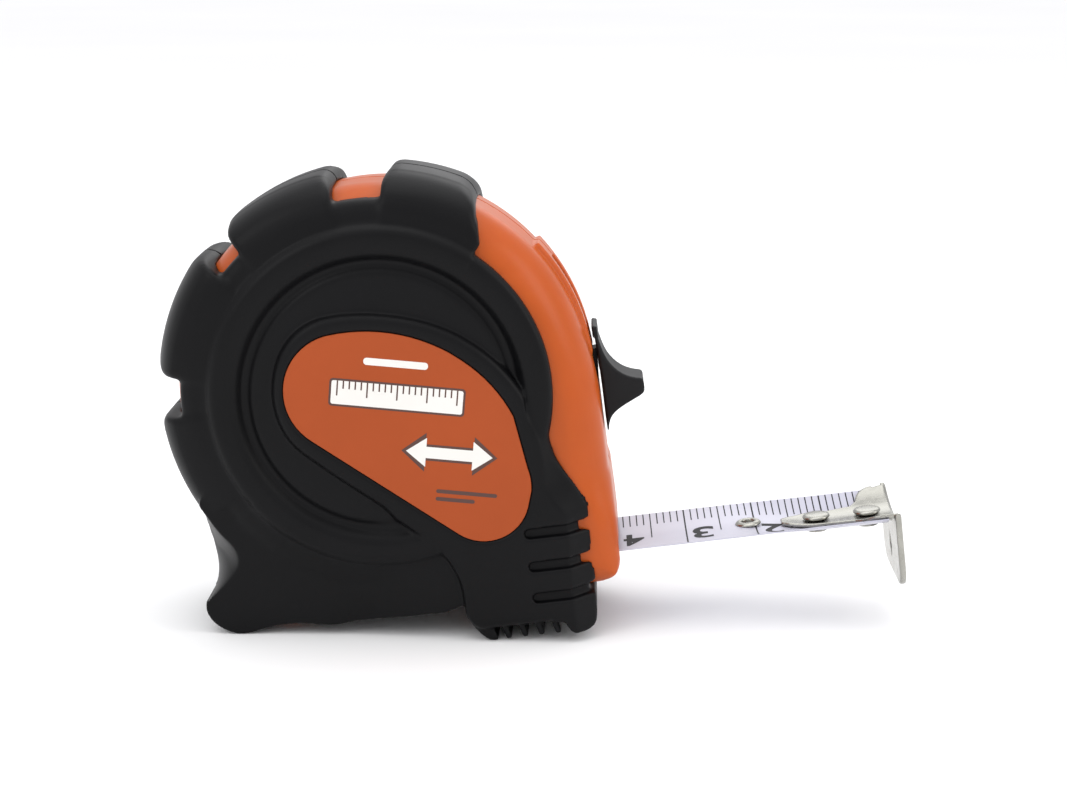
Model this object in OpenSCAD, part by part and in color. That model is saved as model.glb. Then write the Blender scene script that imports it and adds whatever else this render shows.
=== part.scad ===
// Pocket tape measure with a rubber-covered case, a 16 mm cupped blade and a front lock button.
// Lengths are millimetres. The case is drawn with its spindle axis on Y, the blade along +X and
// the near face towards -Y, and then stood on its rear feet and rear comb teeth, nose up.

/* [Case] */
// Radius of the round part of the plastic case
case_r = 28.85; // [28.6:0.05:29]
// Half width of the plastic case
case_w = 11.3; // [11:0.1:12]
// Radius of the case's rounded shoulders
shoulder_r = 7; // [6.5:0.1:7]
// Distance from the spindle axis to the flat front of the nose
nose_x = 30; // [29.8:0.1:30.4]
// Depth of the underside of the nose below the spindle axis
nose_z = 31.4; // [31.3:0.1:31.8]
// Radius of the round inside of the case
cavity_r = 27.2; // [27:0.1:27.3]
// Half width of the inside of the case
cavity_w = 9.4; // [9.2:0.1:9.6]

/* [Rubber covers] */
// Outer radius of the foremost rim grip
grip_r = 31; // [30.8:0.1:31.2]
// How much farther out the rearmost grips stand
grip_rear = 1.05; // [0:0.05:1.2]
// Outer radius of the raised face disc
face_r = 23.7; // [23.4:0.1:24]
// Height of the face ring's crest from the mid-plane
ring_h = 13.2; // [13:0.1:13.4]
// Height of the label frame and the chin from the mid-plane
chin_h = 13.7; // [13.5:0.1:13.9]
// Depth of the comb teeth's tips below the spindle axis
comb_z = 36.45; // [36.4:0.05:36.5]
// Distance between comb slots
comb_pitch = 2.33; // [2.2:0.01:2.4]

/* [Blade] */
// Width of the blade along its curve's chord
blade_w = 15.4; // [15.2:0.1:15.6]
// Thickness of the painted blade
blade_t = 0.16; // [0.14:0.01:0.2]
// Radius of the blade's cupped section
blade_cup_r = 15.6; // [15:0.1:17]
// Depth of the blade's edges below the spindle axis
blade_z = 27; // [26.9:0.05:27.1]
// Distance from the spindle axis to the outer face of the end hook
hook_x = 69.6; // [69:0.1:70]
// Length of the straight stretch of blade
blade_l = 52.5; // [51:0.5:53]

/* [Drum] */
// Outer radius of the wound blade
coil_r = 24; // [23.6:0.1:24]
// Inner radius of the wound blade, the drum's hub
hub_r = 20.6; // [20:0.1:21]
// Radius of the spindle
spindle_r = 3; // [2.8:0.1:3.2]
// Radial running clearance of the drum on the spindle
running_gap = 0.05; // [0.03:0.01:0.08]
// Turns of the return spring
spring_turns = 7; // [6:1:7]

/* [Stance] */
// Nose-up angle at which the case stands, degrees
nose_up = 7.26; // [7.2:0.01:7.3]
// Height of the spindle axis above the ground
stand_h = 34.75; // [34.7:0.01:34.78]

/* [Hidden] */
orange = [0.80, 0.38, 0.16];
black = [0.10, 0.10, 0.11];
nickel = [0.78, 0.77, 0.72];
big = 200;
skin = 0.03;              // gap between rubber and plastic
fn_round = 96;
fn_bore = 48;
grip_spans = [[50, 82, 0], [96, 126.5, 0.45], [135.5, 168.5, 0.95], [179.5, 209, 1]];  // and share of grip_rear
grip_front_x = 16.1;      // the foremost grip ends in a straight edge here
grip_corner = 2.2;
skirt_r = 27.2;
skirt_span = [50, 209];
screw_r = 1.1;            // shank
screw_head_r = 2;
screw_places = [[-21.4, -20.4, 8.2], [19.5, -20.5, 8.5], [-4.65, 25.75, 6.4]];  // and each head's seat
boss_r = 1.75;
centre_x = 21.01;         // the spindle axis stands this far behind the middle of the whole part
centre_y = 3.7;           // and the mid-plane this far towards the near side of it
slot_z = [-30.3, -25.7];  // mouth of the case
rivet_xs = [58.4, 65.7];
rivet_head_r = 1.95;
rivet_r = 1.1;
hook_play = 0.4;          // the hook slides this far each way on its rivets
tang_t = 0.6;
hook_t = 0.9;
hook_bottom_z = -37.4;
eyelet_x = 48.6;
clip_bend_z = 13.4;
clip_w = 14;
clip_t = 1;
clip_out = 18.9;          // inner face of the clip's arm from the mid-plane

// ---- helpers ----
function arc(c, r, a0, a1, n) =
    [for (i = [0:n]) let (a = a0 + (a1 - a0) * i / n) [c[0] + r * cos(a), c[1] + r * sin(a)]];
// Sector of a ring from a0 to a1 degrees whose two outer corners are rounded.
function grip_outline(a0, a1, r0, r1, rc) =
    let (d = asin(rc / (r1 - rc)))
    concat(
        arc([0, 0], r0, a1, a0, 10),
        arc([(r1 - rc) * cos(a0 + d), (r1 - rc) * sin(a0 + d)], rc, a0 + d - 90, a0 + d, 5),
        arc([0, 0], r1, a0 + d + 2, a1 - d - 2, 8),
        arc([(r1 - rc) * cos(a1 - d), (r1 - rc) * sin(a1 - d)], rc, a1 - d, a1 - d + 90, 5));
// Height of the case's shoulder above the mid-plane at radius r.
function shoulder_h(r) = case_w - shoulder_r + sqrt(pow(shoulder_r, 2) - pow(r - case_r + shoulder_r, 2));
// Height of the blade's middle below the spindle axis.
blade_sag = blade_cup_r - sqrt(pow(blade_cup_r, 2) - pow(blade_w / 2, 2));
blade_low = -blade_z - blade_sag;
cup_z = blade_low + blade_cup_r;

module stand() { translate([-centre_x, -centre_y, stand_h]) rotate([0, -nose_up, 0]) children(); }
// Turns a drawing in XZ, built upwards, into a solid that grows towards the near side.
module near() { rotate([90, 0, 0]) children(); }
module far() { mirror([0, 1, 0]) rotate([90, 0, 0]) children(); }
module near_half() { intersection() { children(); translate([-big / 2, -big, -big / 2]) cube(big); } }
module far_half() { intersection() { children(); translate([-big / 2, 0, -big / 2]) cube(big); } }
// A bar along Y through the drawing point c, from height h0 to h1 on the near side.
module near_bar(c, r, h0, h1, fn = fn_bore) {
    near() translate([c[0], c[1], h0]) cylinder(r = r, h = h1 - h0, $fn = fn);
}
module far_bar(c, r, h0, h1, fn = fn_bore) {
    far() translate([c[0], c[1], h0]) cylinder(r = r, h = h1 - h0, $fn = fn);
}

// ---- plastic case ----
// Half of a crowned rim section: crest radius r, half width w, shoulder radius s.
function rim_section(r, w, s) = concat([[0, -w]], arc([r - 0.2 - s, -w + s], s, -90, 0, 8), [[r, 0]],
    arc([r - 0.2 - s, w - s], s, 0, 90, 8), [[0, w]]);
function nose_outline(g) = concat([[4, -nose_z - g]], arc([nose_x - 4.5, -nose_z + 4.5], 4.5 + g, -90, 0, 8),
    [[nose_x + g, -15.9], [nose_x - 0.3 + g, -14.8], [nose_x - 0.3 + g, -2.5], [nose_x - 1.6 + g, 7], [4, 12]]);
function heel_outline(g) = concat([[10, -31.1 - g]], [[10, -8], [-24.8 - g, -8]],
    arc([-22.3, -28.6], 2.5 + g, 180, 270, 5));
module case_form(g = 0) {
    near() rotate_extrude($fn = fn_round) polygon(rim_section(case_r + g, case_w + g, shoulder_r));
    intersection() {
        translate([0, 0, -nose_z - 5]) linear_extrude(nose_z + 20) polygon(concat(
            [[4, case_w + g], [4, -case_w - g]],
            arc([nose_x - shoulder_r, -case_w + shoulder_r], shoulder_r + g, -90, 0, 8),
            arc([nose_x - shoulder_r, case_w - shoulder_r], shoulder_r + g, 0, 90, 8)));
        near() translate([0, 0, -case_w - 1]) linear_extrude(2 * case_w + 2) polygon(nose_outline(g));
        rotate([90, 0, 90]) translate([0, 0, -1]) linear_extrude(40) polygon(concat([[-case_w - g, 20]],
            arc([-case_w + 5, -nose_z + 5], 5 + g, 180, 270, 6), arc([case_w - 5, -nose_z + 5], 5 + g, 270, 360, 6),
            [[case_w + g, 20]]));
    }
    near() translate([0, 0, -10.4 - g]) linear_extrude(20.8 + 2 * g) polygon(heel_outline(g));
}
module lock_rails() {
    for (y = [2.6, -3.8]) translate([0, y, 0]) rotate([90, 0, 0]) translate([0, 0, -1.2])
        rotate([0, 0, 2]) rotate_extrude(angle = 41, $fn = fn_round)
            translate([case_r - 1, 0]) square([1.7, 1.2]);
}
module case_inside() {
    near() rotate_extrude($fn = fn_round) polygon([[0, -cavity_w], [24.7, -cavity_w], [cavity_r, -4.5],
        [cavity_r, 4.5], [24.7, cavity_w], [0, cavity_w]]);
    translate([14, -8, -26]) cube([13.9, 16, 21]);
    translate([-23.6, -8.7, -30.1]) cube([30, 17.4, 5.1]);
    translate([5, -8.7, -30.45]) cube([22.9, 17.4, 10]);
    translate([26, -8.3, slot_z[0]]) cube([8, 16.6, slot_z[1] - slot_z[0]]);
    lock_slot();
}
// The curved slot in the rim that the lock's stem runs in.
module lock_slot() {
    rotate([90, 0, 0]) translate([0, 0, -1.7]) rotate([0, 0, -11]) rotate_extrude(angle = 41, $fn = fn_round)
        translate([25, 0]) square([7, 3.4]);
}
module case_bosses() {
    intersection() {
        case_form();
        for (p = screw_places) near() translate([p[0], p[1], -10]) cylinder(r = boss_r, h = 20, $fn = fn_bore);
    }
}
module screw_holes() {
    for (p = screw_places) {
        near_bar(p, screw_r - 0.15, -1, 5.6);
        far_bar(p, screw_r + 0.2, -0.1, 20);
        far_bar(p, screw_head_r + 0.3, p[2], 20);
    }
    far_bar([0, 0], screw_r + 0.2, 0, 20);
    far_bar([0, 0], screw_head_r + 0.3, 10.2, 20);
    far_bar([0, 18.2], 1.9, 5, 20);
}
module case_body() {
    difference() {
        union() {
            difference() {
                union() { case_form(); lock_rails(); }
                case_inside();
            }
            case_bosses();
            // raised ring around the clip insert, inside the far wall
            far_bar([0, 18.2], 3, cavity_w - 0.05, case_w - 0.1);
        }
        screw_holes();
    }
}
module case_near() {
    color(orange) near_half() translate([0, -0.01, 0]) case_body();
}
module case_far() {
    color(orange) far_half() case_body();
}

// ---- rubber covers, drawn once for the near side ----
// Face disc section: an outer slope, a ring crest, a groove and an inner plateau.
module face_disc() {
    near() rotate_extrude($fn = fn_round) polygon([[0, case_w], [0, 12.5], [17.2, 12.5], [18, 12.1], [18.9, 12.1],
        [19.9, ring_h - 0.1], [20.8, ring_h], [22.4, ring_h], [23.2, ring_h - 0.7], [face_r, 11.9], [face_r, 8], [20, 8], [20, case_w]]);
}
// Sloping skirt from the face disc out to the floors of the notches.
module skirt() {
    near() rotate([0, 0, skirt_span[0]]) rotate_extrude(angle = skirt_span[1] - skirt_span[0] + 21, $fn = fn_round)
        polygon([[22, 8], [22, ring_h - 0.5], [22.8, ring_h - 0.2], [24.6, 12.1], [skirt_r, 11.2], [skirt_r, 6], [24, 6]]);
}
// One rim grip, cut from a ring whose section rolls over from the face to the seam.
module grip(span) {
    r = grip_r + grip_rear * span[2];
    intersection() {
        near() rotate_extrude($fn = fn_round) polygon([[24.5, 0.02], [24.5, 12.1], [26.8, 11.8], [r - 2.5, 10.9],
            [r - 1.4, 9.4], [r - 0.7, 7.6], [r - 0.35, 5.9], [r - 0.1, 3], [r, 0.02]]);
        near() linear_extrude(20) polygon(grip_outline(span[0], span[1], 24, r + 0.1, grip_corner));
        translate([-big / 2, -big / 2, -big / 2]) cube([big / 2 + grip_front_x, big, big]);
    }
}
function foot_outline() = [[-4, -14], [-25, -12.8], [-27.4, -14.6], [-26.5, -16.6], [-26.3, -20], [-26.6, -22.9],
    [-27.3, -24.8], [-28.65, -26.8], [-28.5, -28.3], [-27.6, -29.9], [-26.4, -31.1], [-25.2, -32], [-22.4, -32.05],
    [-19, -31.5], [-16, -31.4], [-12.4, -31.95], [12, -31.95], [12, -14]];
function chin_outline() = concat([[22.6, -6], [22.6, -11.4], [26.2, -17.9], [26.7, -19.2], [26.4, -26],
    [26, -32], [25.7, -35.2]], arc([24.6, -35.2], 1.1, 0, -90, 3), [[22, -36.3], [21.4, -34.5], [9.4, -34.5],
    [9.4, -35.1], [7.9, -33.3], [7.2, -31.6], [7.2, -27.5], [5.6, -23.4], [2.6, -19.6], [-4, -14], [8, -6]]);
module comb() {
    // rear fang, which the case stands on
    near() linear_extrude(12.9) polygon([[7.9, -33.3], [9.2, -35], [10.2, -36.1], [10.9, -comb_z - 0.1],
        [11.5, -comb_z], [11.6, -36.2], [11.1, -34.4], [9, -33.5]]);
    for (i = [0:3]) translate([12.1 + comb_pitch * i, 0, 0]) near() linear_extrude(12.9)
        polygon([[0, -34.3], [0.35, -36], [0.75, -comb_z], [1.25, -comb_z], [1.55, -36.1], [1.15, -34.3]]);
}
module chin() {
    intersection() {
        near() linear_extrude(chin_h) polygon(chin_outline());
        // the front flank slopes back from the face
        translate([0, 0, -45]) linear_extrude(60) polygon([[-30, 0], [-30, -chin_h], [22.6, -chin_h],
            [27.2, -10.4], [27.2, 0]]);
    }
}
module chin_grooves(heights) {
    for (z = heights) {
        translate([17.8, -chin_h - 1, z]) cube([14, 1.7, 1.3]);
        translate([17.8, -chin_h - 1, z + 0.65]) rotate([-90, 0, 0]) cylinder(r = 0.65, h = 1.7, $fn = 24);
        translate([25.7, -12, z]) cube([4, 12.1, 1.3]);
    }
}
// Teardrop of the label: five arcs and one straight side, grown by g.
function label_outline(g) = concat(arc([-4.75, 1.6], 8.15 + g, 230, 112, 9), arc([-3.3, -13.45], 23.25 + g, 90, 54, 5),
    arc([-1.5, -11.55], 20.6 + g, 49, 20, 4), arc([11.25, -13.85], 7.85 + g, 14, -10, 3),
    arc([12.3, -15.35], 6.3 + g, -20, -129, 8));
module label_frame() { near() linear_extrude(chin_h) polygon(label_outline(2.1)); }
module cover(grooves) {
    difference() {
        union() {
            face_disc();
            skirt();
            for (s = grip_spans) grip(s);
            near() linear_extrude(11.9) polygon(foot_outline());
            chin();
            comb();
            label_frame();
        }
        case_form(skin);
        chin_grooves(grooves);
        // the front end of the skirt is cut straight
        translate([grip_front_x, -20, 17.7]) cube([20, 20, 20]);
        translate([-big / 2, -0.02, -big / 2]) cube(big);
    }
}
// Everything below the ground line is worn flat, so that the cover rests on its feet.
module cut_at_ground() {
    difference() {
        children();
        rotate([0, nose_up, 0]) translate([-big / 2, -big / 2, -big - stand_h]) cube(big);
    }
}
module cover_near() {
    color(black) cut_at_ground() difference() {
        cover([-21.8, -26.5, -31]);
        near() translate([0, 0, chin_h - 0.45]) linear_extrude(5) polygon(label_outline(0.15));
    }
}
module cover_far() {
    color(black) cut_at_ground() difference() {
        union() {
            mirror([0, 1, 0]) cover([-26.5, -31]);
            // flat seat for the belt clip
            far() translate([-clip_w / 2 - 1, 13.6, 12]) cube([clip_w + 2, 9, chin_h - 12]);
        }
        for (p = screw_places) far_bar(p, screw_head_r + 0.3, 5, 20);
        far_bar([0, 18.2], 1.9, 5, 20);
    }
}
module label_near() {
    color([0.75, 0.37, 0.2]) near() translate([0, 0, chin_h - 0.45]) linear_extrude(0.3) polygon(label_outline(0));
}

// ---- screws and spindle ----
module screw(p, from_h, head_h, head_t, shank = screw_r) {
    far_bar(p, shank, from_h, head_h + 0.01);
    difference() {
        far_bar(p, screw_head_r, head_h, head_h + head_t);
        far() translate([p[0] - 1.2, p[1] - 0.2, head_h + head_t - 0.6]) cube([2.4, 0.4, 1]);
        far() translate([p[0] - 0.2, p[1] - 1.2, head_h + head_t - 0.6]) cube([0.4, 2.4, 1]);
    }
}
module case_screws() {
    color(nickel) {
        for (p = screw_places) screw(p, -5.2, p[2], 1.3, screw_r - 0.17);
        screw([0, 0], 2, 10.2, 1, screw_r - 0.17);
    }
}
module spindle() {
    color(nickel) difference() {
        union() {
            near() translate([0, 0, -cavity_w]) cylinder(r = spindle_r, h = 2 * cavity_w, $fn = fn_round);
            near_bar([0, 0], 4.2, cavity_w - 0.35, cavity_w);
        }
        // slot for the inner end of the return spring, and the screw's hole
        translate([-0.4, -7, -4]) cube([0.8, 9, 8]);
        far_bar([0, 0], screw_r - 0.15, 1.9, 12);
    }
}

// ---- drum, spring and blade ----
module drum() {
    color([0.93, 0.92, 0.88]) difference() {
        union() {
            near_bar([0, 0], coil_r + 0.2, 8.3, 8.9, fn_round);
            near() translate([0, 0, -8.2]) difference() {
                cylinder(r = hub_r - 0.05, h = 16.6, $fn = fn_round);
                translate([0, 0, -1]) cylinder(r = hub_r - 1.5, h = 18, $fn = fn_round);
            }
        }
        near_bar([0, 0], spindle_r + running_gap, 8, 9.5, fn_round);
    }
}
module drum_cover() {
    color([0.93, 0.92, 0.88]) difference() {
        far_bar([0, 0], coil_r + 0.2, 8.22, 8.82, fn_round);
        far_bar([0, 0], spindle_r + running_gap, 8, 9.5, fn_round);
    }
}
// Flat strip wound into an even spiral from r0 to r1.
module spiral(r0, r1, turns, t, w) {
    steps = turns * 18;
    rr = function(i) r0 + (r1 - r0) * i / steps;
    near() translate([0, 0, -w / 2]) linear_extrude(w) polygon(concat(
        [for (i = [0:steps]) [rr(i) * cos(i * 20), rr(i) * sin(i * 20)]],
        [for (i = [steps:-1:0]) [(rr(i) + t) * cos(i * 20), (rr(i) + t) * sin(i * 20)]]));
}
module return_spring() { color([0.45, 0.47, 0.52]) spiral(4, hub_r - 2.3, spring_turns, 0.5, 13); }
module blade_coil() {
    color([0.82, 0.82, 0.86]) near() translate([0, 0, -8]) difference() {
        cylinder(r = coil_r, h = 16, $fn = fn_round);
        translate([0, 0, -1]) cylinder(r = hub_r, h = 18, $fn = fn_round);
    }
}
// Cupped strip: the shell between two radii about the cup's axis, as wide as w.
module cupped(x0, x1, r_in, r_out, w) {
    intersection() {
        translate([x0, 0, cup_z]) rotate([0, 90, 0]) difference() {
            cylinder(r = r_out, h = x1 - x0, $fn = fn_round);
            translate([0, 0, -1]) cylinder(r = r_in, h = x1 - x0 + 2, $fn = fn_round);
        }
        translate([x0 - 1, -w / 2, cup_z - 40]) cube([x1 - x0 + 2, w, 40]);
    }
}
module centre_hole(x, r) { translate([x, 0, blade_low - 3]) cylinder(r = r, h = 6, $fn = fn_bore); }
module blade() {
    color([0.86, 0.86, 0.9]) difference() {
        cupped(hook_x - hook_t - blade_l, hook_x - hook_t - 0.5, blade_cup_r - blade_t, blade_cup_r, blade_w);
        for (x = rivet_xs) centre_hole(x, rivet_r);
        centre_hole(eyelet_x, 1.3);
    }
}
module stop_eyelet() {
    z_top = blade_low + blade_t + 0.13;
    color(nickel) difference() {
        union() {
            translate([eyelet_x, 0, z_top]) cylinder(r1 = 1.9, r2 = 1.6, h = 0.5, $fn = fn_bore);
            translate([eyelet_x, 0, blade_low - 0.1]) cylinder(r = 1.27, h = blade_t + 0.4, $fn = fn_bore);
            translate([eyelet_x, 0, blade_low - 0.45]) cylinder(r = 1.8, h = 0.4, $fn = fn_bore);
        }
        centre_hole(eyelet_x, 0.9);
    }
}
module hook_rivets() {
    z_top = blade_low + blade_t + tang_t + 0.25;
    color(nickel) for (x = rivet_xs) {
        translate([x, 0, z_top]) cylinder(r1 = 1.5, r2 = rivet_head_r, h = 0.75, $fn = fn_bore);
        translate([x, 0, blade_low - 0.2]) cylinder(r = rivet_r - 0.02, h = z_top - blade_low + 0.25, $fn = fn_bore);
        translate([x, 0, blade_low - 0.7]) cylinder(r1 = 1.2, r2 = 1.6, h = 0.55, $fn = fn_bore);
    }
}
// Seen from above, the tang narrows from the hook's ears to a tongue around the rear rivet.
function tang_half() = concat([[hook_x - hook_t, 7.4], [67.6, 7.2]], arc([67.4, 4.6], 2.8, 90, 180, 4),
    [[63.6, 3.5], [60.5, 3]], arc([58.6, 0], 3.3, 62, 118, 3), [[54.4, 1.7], [53.3, 0.9]]);
module end_hook() {
    r_top = blade_cup_r - blade_t - 0.12;
    flip = tang_half();
    color(nickel) difference() {
        union() {
            intersection() {
                cupped(53, hook_x, r_top - tang_t, r_top, 16);
                translate([0, 0, -60]) linear_extrude(60)
                    polygon(concat(flip, [for (i = [len(flip) - 1:-1:0]) [flip[i][0], -flip[i][1]]]));
            }
            // hanging plate with rounded lower corners
            intersection() {
                translate([hook_x - hook_t, -8, hook_bottom_z]) cube([hook_t, 16, 12]);
                translate([hook_x - 2, 0, 0]) rotate([90, 0, 90]) linear_extrude(4) polygon(concat(
                    [[-8, -26.9], [-8, -30]], arc([-5, hook_bottom_z + 3], 3, 180, 270, 5),
                    arc([5, hook_bottom_z + 3], 3, 270, 360, 5), [[8, -30], [8, -26.9]],
                    arc([0, cup_z], r_top - tang_t / 2, -30, -150, 14)));
            }
        }
        // the rivets' holes are slots, so that the hook floats by its own thickness
        for (x = rivet_xs) for (d = [-hook_play, hook_play]) centre_hole(x + d, rivet_r + 0.05);
        for (x = rivet_xs) translate([x - hook_play, -rivet_r - 0.05, blade_low - 1])
            cube([2 * hook_play, 2 * rivet_r + 0.1, 4]);
        // nail slot
        translate([hook_x - 3, 0, -33]) rotate([0, 90, 0]) linear_extrude(6)
            polygon([[-1.9, 0], [0, 1], [1.9, 0], [0, -1]]);
    }
}

// ---- lock ----
function button_outline() = concat(arc([0, 0], 30, -2, 9, 4), [[30, 4.7], [30.2, 4.3], [30.35, 3.1], [30.6, 1.9],
    [30.95, 0.5], [31.5, -0.8], [32.4, -2], [33.5, -2.9], [34.8, -3.4], [35.7, -3.65], [36.05, -4.1], [36.05, -5.3], [35.7, -5.95],
    [34.4, -6.6], [32.9, -7.3], [31.7, -8], [30.9, -8.8], [30.5, -9.8], [30.35, -10.7], [30.15, -10.7], [30.15, -2.2]]);
module lock_button() {
    color(black) intersection() {
        near() translate([0, 0, -3.2]) linear_extrude(6.4) polygon(button_outline());
        translate([20, -5, -20]) cube([30, 10, 40]);
    }
}
module lock_slide() {
    color([0.2, 0.2, 0.22]) {
        rotate([90, 0, 0]) translate([0, 0, -1.4]) rotate([0, 0, -9]) rotate_extrude(angle = 11, $fn = fn_round)
            translate([26.4, 0]) square([3.55, 2.8]);
        rotate([90, 0, 0]) translate([0, 0, -3.6]) rotate([0, 0, -20]) rotate_extrude(angle = 24, $fn = fn_round)
            translate([25.2, 0]) square([1.3, 7.2]);
    }
}
// The shoe's two pads press on the blade on either side of the rivets' path.
module lock_shoe() {
    color([0.2, 0.2, 0.22]) difference() {
        union() {
            for (y = [-7.2, 4.6]) translate([21.6, y, -28]) cube([2.6, 2.6, 4]);
            translate([21.6, -7.2, -25]) cube([2.6, 14.4, 2]);
            translate([22.8, -3, -24]) cube([1.4, 6, 14.6]);
        }
        translate([15, 0, cup_z]) rotate([0, 90, 0]) difference() {
            cylinder(r = blade_cup_r + 8, h = 15, $fn = fn_round);
            translate([0, 0, -1]) cylinder(r = blade_cup_r - blade_t - 0.08, h = 17, $fn = fn_round);
        }
    }
}
module lock_spring() {
    color([0.45, 0.47, 0.52]) near() translate([0, 0, -2.5]) linear_extrude(5)
        polygon([[27.85, -13], [27.85, -9.4], [27.5, -9.4], [27.5, -12.9], [24.7, -16.4], [24.7, -17.2]]);
}

// ---- belt clip on the far side ----
module clip_foot() {
    color(nickel) difference() {
        far() translate([-clip_w / 2, 14.2, chin_h]) cube([clip_w, 8, clip_t]);
        far_bar([0, 18.2], 1.5, 10, 20);
    }
}
// The arm leans out from the bend, runs down beside the case and curls out at its free end.
module clip_arm() {
    color(nickel) rotate([90, 0, 90]) translate([0, 0, -clip_w / 2]) linear_extrude(clip_w) polygon([
        [chin_h + 0.1, clip_bend_z + 0.7], [chin_h + clip_t, clip_bend_z + 0.7], [clip_out + clip_t, 8.6],
        [clip_out + 0.6, -13.5], [clip_out - 0.7, -17.2], [clip_out + 2.2, -21.2], [clip_out + 1.4, -21.8],
        [clip_out - 1.8, -17.3], [clip_out - 0.4, -13.5], [clip_out, 8.2], [chin_h + 0.7, clip_bend_z - 0.2],
        [chin_h + 0.1, clip_bend_z]]);
}
module clip_screw() {
    color(nickel) difference() {
        union() {
            far_bar([0, 18.2], 1.35, 9.5, chin_h + clip_t + 0.05);
            far_bar([0, 18.2], 3, chin_h + clip_t, chin_h + clip_t + 1.4);
        }
        far() translate([-1.7, 17.95, chin_h + clip_t + 0.8]) cube([3.4, 0.5, 1]);
        far() translate([-0.25, 16.5, chin_h + clip_t + 0.8]) cube([0.5, 3.4, 1]);
    }
}
module clip_insert() {
    color([0.8, 0.65, 0.3]) difference() {
        far_bar([0, 18.2], 1.88, 9.45, 12.4);
        far_bar([0, 18.2], 1.37, 9, 13);
    }
}

stand() case_near();
stand() case_far();
stand() cover_near();
stand() cover_far();
stand() label_near();
stand() case_screws();
stand() spindle();
stand() drum();
stand() drum_cover();
stand() return_spring();
stand() blade_coil();
stand() blade();
stand() stop_eyelet();
stand() hook_rivets();
stand() end_hook();
stand() lock_button();
stand() lock_slide();
stand() lock_shoe();
stand() lock_spring();
stand() clip_foot();
stand() clip_arm();
stand() clip_screw();
stand() clip_insert();
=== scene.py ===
import math
import bmesh
import bpy
import numpy as np
from mathutils import Vector, Matrix

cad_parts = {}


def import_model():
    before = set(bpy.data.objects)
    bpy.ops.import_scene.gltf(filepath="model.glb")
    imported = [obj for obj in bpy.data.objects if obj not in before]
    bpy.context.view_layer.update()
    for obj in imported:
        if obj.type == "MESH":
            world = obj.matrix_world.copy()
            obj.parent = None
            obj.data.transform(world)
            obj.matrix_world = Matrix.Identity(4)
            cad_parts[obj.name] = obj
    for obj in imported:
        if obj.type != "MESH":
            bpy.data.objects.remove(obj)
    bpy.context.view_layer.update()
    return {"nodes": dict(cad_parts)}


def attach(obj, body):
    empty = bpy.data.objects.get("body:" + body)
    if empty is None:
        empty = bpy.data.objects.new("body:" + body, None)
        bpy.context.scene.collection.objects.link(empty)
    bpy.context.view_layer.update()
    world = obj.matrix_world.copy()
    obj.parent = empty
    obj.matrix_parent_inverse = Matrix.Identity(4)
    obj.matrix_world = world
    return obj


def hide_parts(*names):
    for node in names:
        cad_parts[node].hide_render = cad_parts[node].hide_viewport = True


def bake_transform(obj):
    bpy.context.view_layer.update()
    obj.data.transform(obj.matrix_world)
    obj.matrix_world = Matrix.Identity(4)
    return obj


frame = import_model()

# Shapes are drawn in millimetres in the case's own axes (spindle at the origin, blade along +x,
# near face at -y), then stood nose up on the ground in metres.
NOSE_UP = math.radians(7.26)
AXIS = Vector((-0.02101, -0.0037, 0.03475))
SIN, COS = math.sin(NOSE_UP), math.cos(NOSE_UP)


def world(v):
    """Case axes in millimetres to metres on the ground."""
    v = np.asarray(v, float)
    x = v[:, 0] * COS - v[:, 2] * SIN
    z = v[:, 0] * SIN + v[:, 2] * COS
    return np.stack([x * 0.001 + AXIS[0], v[:, 1] * 0.001 + AXIS[1], z * 0.001 + AXIS[2]], 1)


# ---- materials ----
def material(name):
    m = bpy.data.materials.new(name)
    m.use_nodes = True
    return m, m.node_tree.nodes, m.node_tree.links, m.node_tree.nodes["Principled BSDF"]


def coords(nodes, links, scale, stretch=(1, 1, 1)):
    """Object coordinates, scaled and stretched."""
    tc = nodes.new("ShaderNodeTexCoord")
    mp = nodes.new("ShaderNodeMapping")
    mp.inputs["Scale"].default_value = [scale * s for s in stretch]
    links.new(tc.outputs["Object"], mp.inputs["Vector"])
    return mp.outputs["Vector"]


def noise(nodes, links, vec, detail=3.0, rough=0.5):
    n = nodes.new("ShaderNodeTexNoise")
    n.inputs["Scale"].default_value = 1.0
    n.inputs["Detail"].default_value = detail
    n.inputs["Roughness"].default_value = rough
    links.new(vec, n.inputs["Vector"])
    return n.outputs["Fac"]


def ramp(nodes, links, fac, stops):
    """Colour from (place, rgb) stops."""
    r = nodes.new("ShaderNodeValToRGB")
    els = r.color_ramp.elements
    while len(els) < len(stops):
        els.new(0.5)
    for e, (p, c) in zip(els, stops):
        e.position = p
        e.color = (*c, 1)
    links.new(fac, r.inputs["Fac"])
    return r.outputs["Color"]


def spread(nodes, links, fac, low, high):
    """Value from low to high over the middle of a noise."""
    r = nodes.new("ShaderNodeMapRange")
    r.inputs["From Min"].default_value = 0.3
    r.inputs["From Max"].default_value = 0.7
    r.inputs["To Min"].default_value = low
    r.inputs["To Max"].default_value = high
    links.new(fac, r.inputs["Value"])
    return r.outputs["Result"]


def bump(nodes, links, bsdf, height, strength, distance):
    b = nodes.new("ShaderNodeBump")
    b.inputs["Strength"].default_value = strength
    b.inputs["Distance"].default_value = distance
    links.new(height, b.inputs["Height"])
    links.new(b.outputs["Normal"], bsdf.inputs["Normal"])


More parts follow.
